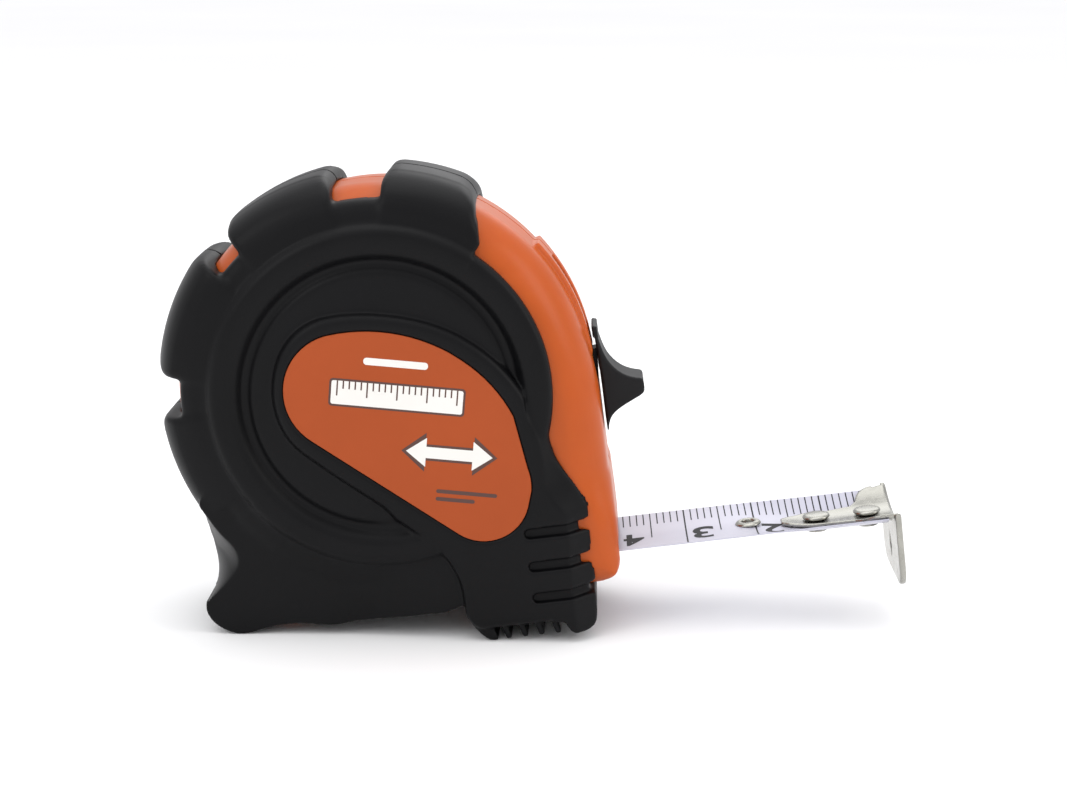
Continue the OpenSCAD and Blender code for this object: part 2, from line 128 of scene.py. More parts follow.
def finish(name, low, high, rough, metallic=0.0, broad=60, fine=4000, grain=0.05, depth=0.00002, spec=0.5,
           coat=0.0, stretch=(1, 1, 1), subsurface=0.0):
    """A surface whose colour and gloss wander a little between two limits, with a fine moulded grain.

    broad and fine are the scales of the two noises per metre, grain and depth the strength and height
    of the bump.
    """
    m, nodes, links, b = material(name)
    wide = noise(nodes, links, coords(nodes, links, broad), 4.0, 0.6)
    grains = noise(nodes, links, coords(nodes, links, fine, stretch), 2.0)
    links.new(ramp(nodes, links, wide, [(0.3, low), (0.7, high)]), b.inputs["Base Color"])
    links.new(spread(nodes, links, wide, rough[0], rough[1]), b.inputs["Roughness"])
    b.inputs["Metallic"].default_value = metallic
    b.inputs["Specular IOR Level"].default_value = spec
    b.inputs["Coat Weight"].default_value = coat
    b.inputs["Coat Roughness"].default_value = 0.12
    if subsurface:
        b.inputs["Subsurface Weight"].default_value = subsurface
        b.inputs["Subsurface Radius"].default_value = (0.004, 0.0015, 0.0006)
        b.inputs["Subsurface Scale"].default_value = 1.0
    bump(nodes, links, b, grains, grain, depth)
    return m


RUBBER = finish("rubber", (0.0026, 0.0026, 0.003), (0.004, 0.004, 0.0047), (0.38, 0.46),
                fine=5200, grain=0.35, depth=0.00003, spec=0.14)
PLASTIC = finish("orange_plastic", (0.45, 0.078, 0.008), (0.5, 0.087, 0.01), (0.3, 0.36),
                 fine=3000, grain=0.06, depth=0.00001, spec=0.25, subsurface=0.15)
LABEL = finish("label_film", (0.37, 0.07, 0.018), (0.4, 0.076, 0.02), (0.5, 0.58), fine=6000, grain=0.1,
               depth=0.000006, spec=0.15)
PRINT_LIGHT = finish("print_light", (0.8, 0.78, 0.74), (0.84, 0.82, 0.78), (0.45, 0.55), grain=0.03)
PRINT_DARK = finish("print_dark", (0.075, 0.03, 0.022), (0.09, 0.036, 0.026), (0.45, 0.55), grain=0.03)
ENAMEL = finish("blade_enamel", (0.47, 0.47, 0.56), (0.52, 0.52, 0.61), (0.3, 0.38), fine=900, grain=0.02,
                spec=0.35, coat=0.15)
PLATED = finish("plated_steel", (0.3, 0.296, 0.268), (0.4, 0.395, 0.36), (0.18, 0.32), 1.0,
                broad=500, fine=2500, grain=0.12, depth=0.000012, stretch=(0.2, 1, 1))
BRIGHT = finish("clip_steel", (0.4, 0.4, 0.4), (0.48, 0.48, 0.475), (0.24, 0.34), 1.0, broad=150, fine=6000,
                grain=0.1, depth=0.00001, stretch=(1, 1, 0.05))
BLACK = finish("black_plastic", (0.006, 0.006, 0.0065), (0.009, 0.009, 0.01), (0.42, 0.52),
               fine=5000, grain=0.2, depth=0.00001, spec=0.18)
NYLON = finish("nylon", (0.62, 0.6, 0.55), (0.7, 0.68, 0.62), (0.4, 0.5), grain=0.1)
SPRING = finish("spring_steel", (0.25, 0.27, 0.32), (0.34, 0.36, 0.41), (0.25, 0.38), 1.0, broad=300)
BRASS = finish("brass", (0.6, 0.42, 0.14), (0.68, 0.49, 0.18), (0.25, 0.35), 1.0, broad=400, grain=0.1)
INK = finish("blade_ink", (0.006, 0.006, 0.008), (0.01, 0.01, 0.012), (0.5, 0.6), grain=0.03, spec=0.2)


# ---- mesh building ----
def piece(name, verts, faces, mat, body, slot, stands_for=(), smooth=True):
    """A visible piece that rides a body and stands in for CAD nodes."""
    me = bpy.data.meshes.new(name)
    me.from_pydata([tuple(p) for p in world(verts)], [], [tuple(int(i) for i in f) for f in faces])
    me.validate()
    me.materials.append(mat)
    me.polygons.foreach_set("use_smooth", [smooth] * len(me.polygons))
    ob = bpy.data.objects.new(name, me)
    bpy.context.scene.collection.objects.link(ob)
    if body:
        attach(ob, body)
    if stands_for:
        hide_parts(*stands_for)
    return ob


def crease(ob, angle):
    """Sharp edges where faces turn by more than this many degrees."""
    bm = bmesh.new()
    bm.from_mesh(ob.data)
    limit = math.radians(angle)
    for e in bm.edges:
        e.smooth = not (len(e.link_faces) == 2 and e.calc_face_angle(0) > limit)
    bm.to_mesh(ob.data)
    bm.free()


def join(*parts):
    """Several (verts, faces) as one."""
    verts, faces, n = [], [], 0
    for v, f in parts:
        verts.append(np.asarray(v, float))
        faces += [tuple(int(i) + n for i in q) for q in f]
        n += len(v)
    return np.concatenate(verts), faces


def lathe(profile, centre, segments=72):
    """Turns (radius, height) pairs about the upright axis through centre."""
    pts, faces, n = [], [], len(profile)
    for i in range(segments):
        a = 2 * math.pi * i / segments
        j = (i + 1) % segments
        pts += [(r * math.cos(a), r * math.sin(a), t) for r, t in profile]
        faces += [(i * n + k, j * n + k, j * n + k + 1, i * n + k + 1) for k in range(n - 1)]
    return np.array(pts) + np.array(centre), faces


def tube(rings, n):
    """Faces of a skin drawn over rings of n points each, with closed ends."""
    faces = [(i * n + k, i * n + (k + 1) % n, (i + 1) * n + (k + 1) % n, (i + 1) * n + k)
             for i in range(rings - 1) for k in range(n)]
    last = (rings - 1) * n
    return faces + [tuple(range(n))[::-1], tuple(range(last, last + n))]


def arc(c, r, a0, a1, n):
    """n + 1 points about c from angle a0 to a1, in degrees."""
    return [(c[0] + r * math.cos(math.radians(a0 + (a1 - a0) * i / n)),
             c[1] + r * math.sin(math.radians(a0 + (a1 - a0) * i / n))) for i in range(n + 1)]


def soften(pts, rounds=2, cut=0.25, closed=True):
    """Corner cutting: the outline keeps its sides and gains round corners."""
    p = [np.array(q, float) for q in pts]
    for _ in range(rounds):
        out = []
        n = len(p)
        for i in range(n if closed else n - 1):
            a, b = p[i], p[(i + 1) % n]
            out += [a + (b - a) * cut, b + (a - b) * cut]
        p = out if closed else [p[0]] + out + [p[-1]]
    return [tuple(q) for q in p]


# ---- solids as distance fields, in (x, z, h), where h is the height above the mid-plane ----
# A field is negative inside its solid. k and r are the widths of rounded joins and edges.
def polygon(x, z, pts):
    """Signed distance to a closed outline."""
    x, z = np.broadcast_arrays(np.asarray(x, np.float32), np.asarray(z, np.float32))
    d = np.full(x.shape, 1e9, np.float32)
    inside = np.zeros(x.shape, bool)
    for (ax, az), (bx, bz) in zip(pts, list(pts[1:]) + [pts[0]]):
        ex, ez = bx - ax, bz - az
        l2 = ex * ex + ez * ez
        if l2 < 1e-12:
            continue
        wx, wz = x - ax, z - az
        t = np.clip((wx * ex + wz * ez) / l2, 0, 1)
        d = np.minimum(d, (wx - t * ex) ** 2 + (wz - t * ez) ** 2)
        if abs(ez) > 1e-9:
            inside ^= ((az <= z) != (bz <= z)) & (x < ex / ez * wz + ax)
    return np.where(inside, -1, 1) * np.sqrt(d)


def revolved(r, h, pts):
    """A section in (radius, height), looked up on a table."""
    hs = h.reshape(-1)
    step = 0.05
    rs = np.arange(0, float(r.max()) + 0.2, step, dtype=np.float32)
    table = polygon(rs[:, None], hs[None, :], pts).astype(np.float32)
    i = np.minimum((r / step).astype(np.int32), len(rs) - 2)
    f = (r / step - i).astype(np.float32)
    i = i[:, :, 0]
    return table[i] * (1 - f) + table[i + 1] * f


def slab(d, w, r):
    """Extrusion with rounded edges: d outside the outline, w above the top."""
    a, b = d + r, w + r
    return np.minimum(np.maximum(a, b), 0) + np.hypot(np.maximum(a, 0), np.maximum(b, 0)) - r


def common(*fields):
    """The space that all the fields share, with sharp edges."""
    d = fields[0]
    for f in fields[1:]:
        d = np.maximum(d, f)
    return d


def union(a, b, k=0.0):
    """a and b together."""
    m = np.minimum(a, b)
    if k:
        t = np.maximum(k - np.abs(a - b), 0) / k
        m = m - t * t * k * 0.25
    return m


def cross(a, b, k=0.0):
    """What a and b share. With -b it cuts b out of a."""
    return -union(-a, -b, k)


def rect(x, z, x0, x1, z0, z1):
    """Upright rectangle with sharp corners."""
    return common(x0 - x, x - x1, z0 - z, z - z1)


def capsule(x, z, a, b, r):
    """Rounded bar of radius r from a to b."""
    ex, ez = b[0] - a[0], b[1] - a[1]
    t = np.clip(((x - a[0]) * ex + (z - a[1]) * ez) / (ex * ex + ez * ez), 0, 1)
    return np.hypot(x - a[0] - t * ex, z - a[1] - t * ez) - r


def wedge(x, z, a0, a1):
    """The sector about the spindle from angle a0 to a1, in degrees."""
    p, q = math.radians(a0), math.radians(a1)
    return np.maximum(x * math.sin(p) - z * math.cos(p), -x * math.sin(q) + z * math.cos(q))


def ease(t):
    """0 to 1 with a level start and end."""
    return t * t * (3 - 2 * t)


def turn_of(x, z):
    """Angle about the spindle, 0 to 360 degrees."""
    return np.degrees(np.arctan2(z, x)) % 360


def along(turn, degrees, values):
    """A value that runs straight from stop to stop round the case."""
    return np.interp(turn, degrees, values).astype(np.float32)


def between(inner, outer):
    """0 at the inner outline and 1 at the outer one."""
    a, b = np.maximum(inner, 0), np.maximum(-outer, 0)
    return a / (a + b + 1e-4)


def skin(f, low, high, step):
    """Surface of a distance field: one vertex per crossed cell, drawn onto the surface."""
    ax = [np.arange(lo, hi + step, step, dtype=np.float32) for lo, hi in zip(low, high)]
    v = f(ax[0][:, None, None], ax[1][None, :, None], ax[2][None, None, :])
    v = np.ascontiguousarray(np.broadcast_to(v, [len(a) for a in ax])).astype(np.float32)
    neg = v < 0
    n = [s - 1 for s in v.shape]

    def corner(a, o):
        return a[o[0]:o[0] + n[0], o[1]:o[1] + n[1], o[2]:o[2] + n[2]]

    # cells that the surface crosses
    offs = [(i, j, k) for i in (0, 1) for j in (0, 1) for k in (0, 1)]
    count = np.zeros(n, np.int8)
    for o in offs:
        count += corner(neg, o)
    active = (count > 0) & (count < 8)
    index = np.full(n, -1, np.int64)
    cells = np.argwhere(active)
    index[active] = np.arange(len(cells))
    # first guess: the mean of the places where the cell's edges cross
    acc = np.zeros((len(cells), 3))
    hits = np.zeros(len(cells))
    vals = {o: v[cells[:, 0] + o[0], cells[:, 1] + o[1], cells[:, 2] + o[2]].astype(float) for o in offs}
    for a in offs:
        for axis in range(3):
            if a[axis]:
                continue
            b = tuple(1 if i == axis else a[i] for i in range(3))
            va, vb = vals[a], vals[b]
            m = (va < 0) != (vb < 0)
            t = np.where(m, va / np.where(m, va - vb, 1), 0)
            p = np.tile(np.array(a, float), (len(cells), 1))
            p[:, axis] = t
            acc[m] += p[m]
            hits[m] += 1
    local = acc / hits[:, None]
    start = local.copy()
    # then a few steps down the slope, never far from the guess or out of the cell
    for _ in range(3):
        u, w, s = local.T
        wu, ww, ws = (1 - u, u), (1 - w, w), (1 - s, s)
        val = np.zeros(len(cells))
        g = np.zeros((len(cells), 3))
        for o in offs:
            q = vals[o]
            val += q * wu[o[0]] * ww[o[1]] * ws[o[2]]
            g[:, 0] += q * (1 if o[0] else -1) * ww[o[1]] * ws[o[2]]
            g[:, 1] += q * wu[o[0]] * (1 if o[1] else -1) * ws[o[2]]
            g[:, 2] += q * wu[o[0]] * ww[o[1]] * (1 if o[2] else -1)
        g2 = (g * g).sum(1) + 1e-9
        local = local - np.clip(val / g2, -0.5, 0.5)[:, None] * g
        local = np.clip(local, np.maximum(start - 0.35, 0.02), np.minimum(start + 0.35, 0.98))
    pts = (cells + local) * step + np.array([a[0] for a in ax])
    # one quad round each grid edge whose ends differ
    faces = []
    for axis in range(3):
        b, c = (axis + 1) % 3, (axis + 2) % 3
        lo = [slice(None)] * 3
        hi = [slice(None)] * 3
        lo[axis], hi[axis] = slice(0, -1), slice(1, None)
        change = neg[tuple(lo)] != neg[tuple(hi)]
        e = np.argwhere(change)
        e = e[(e[:, b] > 0) & (e[:, c] > 0) & (e[:, b] < v.shape[b] - 1) & (e[:, c] < v.shape[c] - 1)]
        quad = []
        for db, dc in ((-1, -1), (0, -1), (0, 0), (-1, 0)):
            k = e.copy()
            k[:, b] += db
            k[:, c] += dc
            quad.append(index[k[:, 0], k[:, 1], k[:, 2]])
        quad = np.stack(quad, 1)
        back = ~neg[e[:, 0], e[:, 1], e[:, 2]]
        quad[back] = quad[back][:, ::-1]
        faces.append(quad)
    return pts, np.concatenate(faces)


def side(mesh, far=True):
    """(x, z, h) of one half to (x, y, z)."""
    p, f = mesh
    y = p[:, 2] if far else -p[:, 2]
    return np.stack([p[:, 0], y, p[:, 1]], 1), (f[:, ::-1] if far else f)


# ---- the plastic case ----
# Outlines are seen from the near side, with round corners where soften() or arc() makes them.
NOSE = ([(4, -31.4)] + arc((25.6, -26.9), 4.5, -90, 0, 10)
        + [(30.18, -22), (30.15, -16.1), (29.76, -15.0), (29.75, -4), (29.4, 0.5), (28.7, 4.5), (27.6, 7.8),
           (26.0, 11), (23, 14), (4, 14)])
HEEL = [(10, -31.1), (10, -8), (-23.2, -8)] + arc((-20.7, -28.6), 2.5, 180, 270, 6)
# case screws: x, z and the height of the seat under the head; the last one is the spindle's
SCREWS = [(-21.4, -20.4, 8.2), (19.5, -20.5, 8.5), (-4.65, 25.75, 6.4), (0, 0, 10.2)]
SCREW_WELL = 2.3
# half thickness of the case, radius of its round body, and rounding of the body's edges
CASE_TOP, PUCK_R, EDGE_R = 11.3, 28.65, 7
# rooms inside each half: x from and to, z from and to, depth
ROOMS = ((14, 27.9, -26, -5, 8), (-22.5, 6.4, -30.1, -25, 8.5), (5, 27.9, -30.45, -20.45, 8.7))
# the blade's mouth: lower and upper edge, half width
MOUTH_LOW, MOUTH_HIGH, MOUTH_H = -30.3, -25.7, 8.3
# each half stops this far short of the mid-plane
SEAM = 0.015


def case_form(x, z, h):
    """One half of the case as a solid block: round body, nose and heel."""
    r = np.hypot(x, z)
    # the rear of the round body stands out a little, and its middle band a little more
    out = along(turn_of(x, z), [120, 140, 200, 230], [0, 0.3, 0.3, 0]) * np.clip((r - 24) / 4, 0, 1)
    band = 0.2 * np.clip(1 - h / (CASE_TOP - EDGE_R), 0, 1)
    puck = slab(r - out - band - PUCK_R, h - CASE_TOP, EDGE_R)
    # the nose's shoulder runs into the round shoulder above it
    shoulder = 23.1
    round_shoulder = np.sqrt(np.maximum((PUCK_R - EDGE_R) ** 2 - z * z, 1))
    u = x - shoulder + (shoulder - round_shoulder) * ease(np.clip((z + 5) / 11, 0, 1))
    # and grows sharper towards the mouth
    tighter = 3.2 * ease(np.clip((-14 - z) / 9, 0, 1))
    plan = slab(u - EDGE_R, h - CASE_TOP, EDGE_R - tighter)
    front = slab(-z - 31.4, h - CASE_TOP, 5)
    nose = cross(cross(polygon(x, z, NOSE), plan, 0.4), front, 0.4)
    heel = slab(polygon(x, z, HEEL), h - 8.9, 1.2)
    return union(union(puck, nose, 0.8), heel, 0.5)


def case_half(far):
    """One half of the hollow case, with the mouth, the lock's track and slot, and the screw posts."""
    def f(x, z, h):
        r = np.hypot(x, z)
        block = case_form(x, z, h)
        # low wall on which the button's slide runs
        track = slab(common(r - 29.45, 27.85 - r, wedge(x, z, 2, 36)), h - 3.8, 0.3)
        # the drum's room, with a slanted corner under the round shoulder, and the rooms beside it
        room = common(h - 9.4, r - 27.2, (r - 24.7) * 0.89 + (h - 9.4) * 0.455)
        for x0, x1, z0, z1, depth in ROOMS:
            room = np.minimum(room, np.maximum(rect(x, z, x0, x1, z0, z1), h - depth))
        gap = np.maximum(MOUTH_LOW - z, z - MOUTH_HIGH)
        flared = x - 29.5
        mouth = slab(np.maximum(26 - x, gap), h - MOUTH_H, 0.6)
        flare = slab(np.maximum(-flared, gap - flared), h - MOUTH_H - 0.5 * flared, 0.6)
        slot = slab(np.maximum(25 - r, wedge(x, z, -11, 30)), h - 1.7, 0.4)
        inside = np.minimum(np.minimum(room, mouth), np.minimum(slot, flare))
        d = cross(union(block, track, 0.6), -inside, 0.25)
        if far:
            # each post is thin up to its seat and wider round the head, with a well and a bore
            for cx, cz, seat in SCREWS:
                q = np.hypot(x - cx, z - cz)
                post = np.minimum(np.maximum(q - 1.75, h - seat), np.maximum(q - 2.75, seat - 0.9 - h))
                d = np.minimum(d, np.maximum(post, block + 0.3))
                well, bore = np.maximum(q - SCREW_WELL, seat - h), np.maximum(q - 1.3, -h)
                d = common(d, -well, -bore)
        return np.maximum(d, SEAM - h)

    return side(skin(f, (-30.2, -33, -0.6), (31, 30.4, 12.2), 0.3), far)


# ---- the rubber covers ----
# grips: angles from and to, in degrees; sections are in (radius, height)
GRIPS = [(50, 82), (96, 126.5), (135.5, 168.5), (179.5, 209)]
GRIP_R = 31.02
GRIP_SECTION = soften([(23.6, -2), (23.6, 11.6), (24.1, 12.05), (25.2, 12.0), (26.6, 11.8),
                       (27.9, 11.2), (29, 10.15), (29.8, 8.8), (30.3, 7.3), (30.6, 6.0), (30.78, 5.75),
                       (30.95, 3), (GRIP_R, -2)], 2)
DISC_SECTION = soften([(-5, 4), (-5, 12.45), (16.8, 12.45), (17.6, 12.3), (18.2, 11.75), (18.9, 11.7),
                       (19.4, 12.3), (20.0, 12.95), (20.9, 13.18), (22.0, 13.2), (22.8, 13.05),
                       (23.3, 12.75), (23.62, 12.3), (23.7, 11.6), (23.7, 4)], 1)
SKIRT_SECTION = soften([(20, 4), (20, 12.9), (22.0, 13.15), (22.9, 13.1), (23.4, 12.75), (23.95, 12.2),
                        (24.5, 12.0), (25.6, 11.8), (26.7, 11.3), (27.15, 10.6), (27.2, 8),
                        (27.2, 4)], 2)
DOME_SECTION = soften([(20, -2), (20, 12.9), (22.0, 13.15), (22.9, 13.1), (23.5, 12.75), (24.1, 12.25),
                       (24.8, 12.0), (26.2, 11.65), (27.6, 11.0), (29.2, 9.9), (30.3, 8.5), (31, 7.0),
                       (31.35, 5), (31.5, -2)], 2)
# foot and chin: the outline, then the crease from which the surface falls away to it
FOOT = soften([(-4, -14), (-20, -8), (-28.2, -10.2), (-28.7, -12.6), (-28.9, -15.0), (-28.55, -17.8),
               (-28.1, -20.6), (-27.95, -23.2), (-28.15, -25.2), (-28.95, -26.9), (-29.0, -28.3),
               (-28.2, -29.9), (-26.9, -31.0), (-25.4, -31.8), (-23.9, -32.0), (-21.6, -31.6),
               (-19.2, -31.25), (-16.6, -31.25), (-14.4, -31.6), (-12.2, -32.1), (-10, -32.1),
               (-7, -31.75), (12, -31.9), (12, -14)], 2)
FOOT_CREASE = soften([(-4, -14), (-20, -4), (-27.9, -12.0), (-26.8, -13.8), (-25.2, -16.8),
                      (-23.7, -18.6), (-23.0, -20.2), (-23.3, -22.2), (-25.1, -24.0), (-27.2, -25.6),
                      (-30, -27.3), (-40, -30), (-40, -40), (20, -40), (20, -14)], 2)
CHIN = soften([(8, -6), (21.9, -7), (22.45, -10.6), (23.1, -12.2), (25.3, -16.1), (26.5, -18.2),
               (26.75, -19.4), (26.5, -21), (26.4, -24), (26.25, -27), (26.1, -30), (25.9, -33),
               (25.75, -35.3), (25.2, -36.4), (23.6, -36.7), (22.2, -36.5), (21.6, -35.6),
               (21.1, -34.45), (17, -34.5), (11.0, -34.5), (9.4, -34.6), (8.2, -33.6), (7.5, -32.2),
               (7.6, -30), (7.5, -27.5), (6.6, -24.8), (5.2, -22.4), (3.4, -20.2), (-2, -15)], 2)
# the chin's right edge alone, closed far away
CHIN_RIGHT = [(x, z) for x, z in CHIN if x > 21.3 and z > -34.8] + [(25.7, -60), (-60, -60), (-60, 0)]
CHIN_CREASE = soften([(-60, 20), (12, 12), (16.0, 3.2), (17.9, -0.9), (19.4, -4.2), (20.6, -7.4),
                      (20.95, -10.5), (20.75, -13.4), (20.6, -15.3), (21.5, -17.2), (22.9, -18.9),
                      (23.1, -20.6), (23.05, -23), (22.8, -27), (22.65, -31), (22.5, -45),
                      (-60, -45)], 2)
FANG = soften([(7.9, -32.8), (8.4, -34.2), (9.3, -35.4), (10.3, -36.35), (11.2, -36.62), (11.75, -36.4),
               (11.6, -35.6), (11.0, -34.2), (10.4, -33.2)], 2)
# grooves across the chin: height, and where each one cuts right through the front edge
GROOVES = ((-21.35, 26.35), (-26.15, 26.2), (-30.7, 25.85))
GROOVE_R = 0.74
# heights above the mid-plane
COMB_TOP, FRAME_TOP, WINDOW_FLOOR, LABEL_TOP = 12.9, 13.7, 13.25, 13.55
# the ground below the spindle, and the belt clip's screw above it
GROUND, CLIP_SCREW = -34.75, 18.2
LABEL_EDGE = (arc((-4.75, 1.6), 8.15, 230, 100, 20) + arc((-3.3, -13.45), 23.25, 96, 54, 12)
              + arc((-1.5, -11.55), 20.6, 49, 20, 8) + arc((11.25, -13.85), 7.85, 14, -10, 6)
              + arc((12.3, -15.35), 6.3, -20, -129, 16))


def round_cover(x, z, h):
    """Face rings, the skirt over the rear shoulder, the plain dome below it, and the grips."""
    r, turn = np.hypot(x, z), turn_of(x, z)
    # between the last two grips the skirt reaches farther out
    reach = along(turn, [150, 165, 182, 200], [0, 0.65, 0.65, 0]) * np.clip((r - 24) / 2, 0, 1)
    skirt = np.maximum(revolved(r - reach, h, SKIRT_SECTION), wedge(x, z, 50, 228))
    skirt = np.maximum(skirt, np.where(z > 0, x - 16.1, -9))
    dome = np.maximum(revolved(r, h, DOME_SECTION), wedge(x, z, 214, 292))
    d = union(union(revolved(r, h, DISC_SECTION), skirt, 0.5), dome, 0.5)
    # the rear grips stand a little farther out; the first one ends at an upright seam
    out = along(turn, [88, 124, 140, 209, 230], [0, 0.75, 0.98, 1.08, 0.9]) * np.clip((r - 25) / 4, 0, 1)
    section = revolved(r - out, h, GRIP_SECTION)
    for grip in GRIPS:
        sector = wedge(x, z, *grip)
        if grip == GRIPS[0]:
            sector = np.maximum(sector, x - 16.15)
        rim = slab(sector, r - out - GRIP_R, 2.3)
        d = union(d, cross(section, np.maximum(rim, 23.5 - r), 0.9), 0.7)
    return d


def foot_cover(x, z, h):
    """Foot, whose rear falls away in a scoop."""
    foot = polygon(x, z, FOOT)
    fall = between(polygon(x, z, FOOT_CREASE), foot) ** 1.2
    top = 11.2 + 0.9 * np.clip((x + 9) / 8, 0, 1) - 8.5 * fall
    return cross(foot, (h - top) * 0.62, 0.25)


def frame_cover(x, z, h, label, grooves):
    """The raised frame round the label and the chin, as one body."""
    chin = polygon(x, z, CHIN)
    # the frame is narrowest at the left of the label and over it
    frame_w = (2.75 - 1.15 * np.exp(-((x + 13) ** 2 + (z - 3) ** 2) / 70)
               - 0.4 * np.exp(-((x - 2) ** 2 + (z - 11) ** 2) / 60))
    shape = union(label - frame_w, chin, 2.0)
    body = slab(shape, h - FRAME_TOP, 1.25)
    # the right flank slopes back from a crease to the outline
    fall = between(polygon(x, z, CHIN_CREASE), np.minimum(shape, polygon(x, z, CHIN_RIGHT)))
    slope = FRAME_TOP - (1.7 + 0.8 * np.clip((-12 - z) / 6, 0, 1)) * fall
    under_slope = (h - slope) * 0.8
    flank = cross(union(body, cross(chin, under_slope, 0.35)), under_slope, 0.3)
    body = np.where(x > 19.5, flank, union(body, cross(chin, h - FRAME_TOP, 1.2)))
    for zc, through in grooves:
        rod = capsule(x, z, (17.95, zc), (32, zc), GROOVE_R)
        body = cross(body, -cross(rod, slope - 1.05 - h, 0.3), 0.3)
        body = cross(body, -np.maximum(capsule(x, z, (through, zc), (32, zc), GROOVE_R), -h), 0.35)
    return body


def comb_cover(x, z, h):
    """The comb under the chin: one fang and four teeth."""
    comb = slab(polygon(x, z, FANG), h - COMB_TOP, 0.5)
    for i in range(4):
        cx = 12.1 + 2.33 * i
        tooth = capsule(x, z, (cx + 0.5, -33.9), (cx + 1.02, -36.05), 0.42)
        comb = union(comb, slab(tooth, h - COMB_TOP, 0.3))
    return comb


def cover_half(far):
    """One half of the rubber, hollow for the case. Only the near half has the top groove."""
    def f(x, z, h):
        label = polygon(x, z, LABEL_EDGE)
        d = union(round_cover(x, z, h), foot_cover(x, z, h), 0.35)
        d = union(d, frame_cover(x, z, h, label, GROOVES[1 if far else 0:]), 0.45)
        d = union(d, comb_cover(x, z, h), 0.35)
        if far:
            # pad under the belt clip
            pad = slab(np.maximum(np.abs(x) - 8, np.abs(z - 18.1) - 4.5), h - FRAME_TOP, 0.5)
            d = union(d, pad, 0.8)
        d = cross(d, -(case_form(x, z, h) - 0.03), 0.12)
        # wells for the screws, or the label's window
        if far:
            for cx, cz, _ in SCREWS[:-1]:
                d = cross(d, SCREW_WELL - np.hypot(x - cx, z - cz), 0.3)
            d = np.maximum(d, 1.9 - np.hypot(x, z - CLIP_SCREW))
            d = cross(d, -np.maximum(np.hypot(x, z) - SCREW_WELL, 11 - h), 0.3)
        else:
            d = cross(d, -np.maximum(label - 0.15, WINDOW_FLOOR - h), 0.25)
        # worn flat on the ground
        return common(d, SEAM - h, GROUND - (x * SIN + z * COS))

    return side(skin(f, (-32.1, -37.4, -0.6), (27.6, 32, 14.2), 0.3), far)


piece("case_shell_near", *case_half(False), PLASTIC, "case", "case_plastic", ["case_near"])
piece("case_shell_far", *case_half(True), PLASTIC, "case", "case_plastic", ["case_far"])
piece("rubber_near", *cover_half(False), RUBBER, "case", "grip_rubber", ["cover_near"])
piece("rubber_far", *cover_half(True), RUBBER, "case", "grip_rubber", ["cover_far"])


# ---- label film and its generic marks ----
def plate(outline, h0, h1, edge):
    """Film from height h0 to h1 on the near side, with a bevelled edge."""
    p = np.array(outline)
    c = p.mean(0)
    n = len(p)
    inner = c + (p - c) * (1 - edge / np.hypot(*(p - c).T)[:, None])
    rows = [(p, h0), (p, h1 - edge), (inner, h1)]
    verts = np.concatenate([np.stack([q[:, 0], np.full(n, -h), q[:, 1]], 1) for q, h in rows])
    faces = [tuple(k * n + (i + s) % n for k, s in ((r, 0), (r, 1), (r + 1, 1), (r + 1, 0)))
             for r in range(2) for i in range(n)]
    return verts, faces + [tuple(2 * n + i for i in range(n))] + [tuple(range(n))[::-1]]


def placed(pts, c, tilt=-12.0):
    """Points drawn about the origin, turned and moved to c."""
    a = math.radians(tilt)
    co, si = math.cos(a), math.sin(a)
    return [(c[0] + x * co - z * si, c[1] + x * si + z * co) for x, z in pts]


def bar(x, z, w, h, r):
    """Rounded bar about (x, z)."""
    x0, x1, z0, z1 = x - w / 2, x + w / 2, z - h / 2, z + h / 2
    return (arc((x1 - r, z1 - r), r, 90, 0, 5) + arc((x1 - r, z0 + r), r, 0, -90, 5)
            + arc((x0 + r, z0 + r), r, -90, -180, 5) + arc((x0 + r, z1 - r), r, 180, 90, 5))


def arrow(l, w, t, b):
    """Double-ended arrow of half length l, half width w, half shaft t and head length b."""
    right = [(l - b, t), (l - b, w), (l, 0), (l - b, -w), (l - b, -t)]
    return [(-l, 0), (-l + b, w), (-l + b, t)] + right + [(-l + b, -t), (-l + b, -w)]


def printed(name, shapes, layer, mat):
    """Flat shapes of ink on the label, one thin layer above another."""
    h = LABEL_TOP + 0.012 * layer
    mesh = join(*[([(x, -h, z) for x, z in shape], [tuple(range(len(shape)))]) for shape in shapes])
    piece(name, *mesh, mat, "case", "label", smooth=False)


piece("label_film", *plate(LABEL_EDGE[::-1], WINDOW_FLOOR, LABEL_TOP, 0.06), LABEL, "case", "label",
      ["label_near"], smooth=False)
# a length of ruler, a double-ended measuring arrow and plain bars, in place of any lettering
RULER, ARROW, BARS, TOP_BAR = (2.5, 0.1), (8.5, -8.7), (10, -15), (3.0, 4.75)
DARK = [placed(bar(0, 0, 18.6, 3.9, 0.5), RULER),
        placed(arrow(6.6, 2.75, 1.15, 3.3), ARROW),
        placed(bar(0, 0.5, 8.4, 0.55, 0.27), BARS),
        placed(bar(-1.5, -0.6, 5.4, 0.55, 0.27), BARS)]
LIGHT = [placed(bar(0, 0, 18.0, 3.3, 0.3), RULER),
         placed(arrow(5.95, 2.05, 0.8, 2.75), ARROW),
         placed(bar(0, 0, 8.8, 1.0, 0.45), TOP_BAR)]
TICKS = [(-8.2 + 0.82 * i, 2.1 if i % 5 == 0 else 1.1) for i in range(21)]
printed("label_marks_dark", DARK, 1, PRINT_DARK)
printed("label_marks_light", LIGHT, 2, PRINT_LIGHT)
printed("label_ticks", [placed(bar(x, 1.65 - q / 2, 0.2, q, 0.05), RULER) for x, q in TICKS], 3, PRINT_DARK)

# ---- blade ----
# radius of the full cup, curvature where the blade leaves the case, and half the blade's width as an arc
CUP_R, MOUTH_CURVE, REACH = 15.6, 0.0188, 8.05
# height of the blade's edges, its thickness, and the height of the ink above its underside
EDGE_Z, THICK, INK_LIFT = -27.0, 0.16, 0.175
